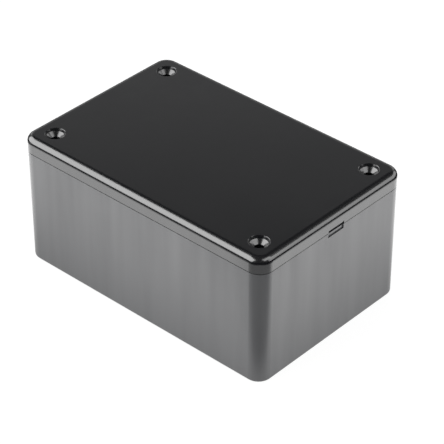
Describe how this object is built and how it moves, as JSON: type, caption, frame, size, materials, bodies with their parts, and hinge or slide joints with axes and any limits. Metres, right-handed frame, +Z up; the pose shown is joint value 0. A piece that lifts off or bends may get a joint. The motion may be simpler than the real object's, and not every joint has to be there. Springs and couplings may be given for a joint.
{
  "type": "plastic project box",
  "caption": "Rectangular black plastic project box: hollow base with corner posts, board guides and a pry notch, closed by a lapped lift-off lid with countersunk corner screw holes.",
  "frame": {"origin": "middle of the underside, on the surface that the box stands on", "axes": "+X along the long side towards the end with the pry notch, +Y across the box, +Z up through the lid"},
  "size_m": [0.12, 0.0786, 0.0552],
  "materials": {
    "base_plastic": "black ABS, satin moulded side walls",
    "lid_plastic": "black ABS, fine satin lid",
    "insert_brass": "turned brass"
  },
  "bodies": {
    "base": {"base": "base_plastic", "insert_front_left": "insert_brass", "insert_front_right": "insert_brass", "insert_back_left": "insert_brass", "insert_back_right": "insert_brass"},
    "lid": {"lid": "lid_plastic"}
  },
  "joints": [
    {"name": "lid_lift", "type": "slide", "parent": "base", "child": "lid", "axis": [0, 0, 1], "range_m": [0, 0.06]}
  ]
}
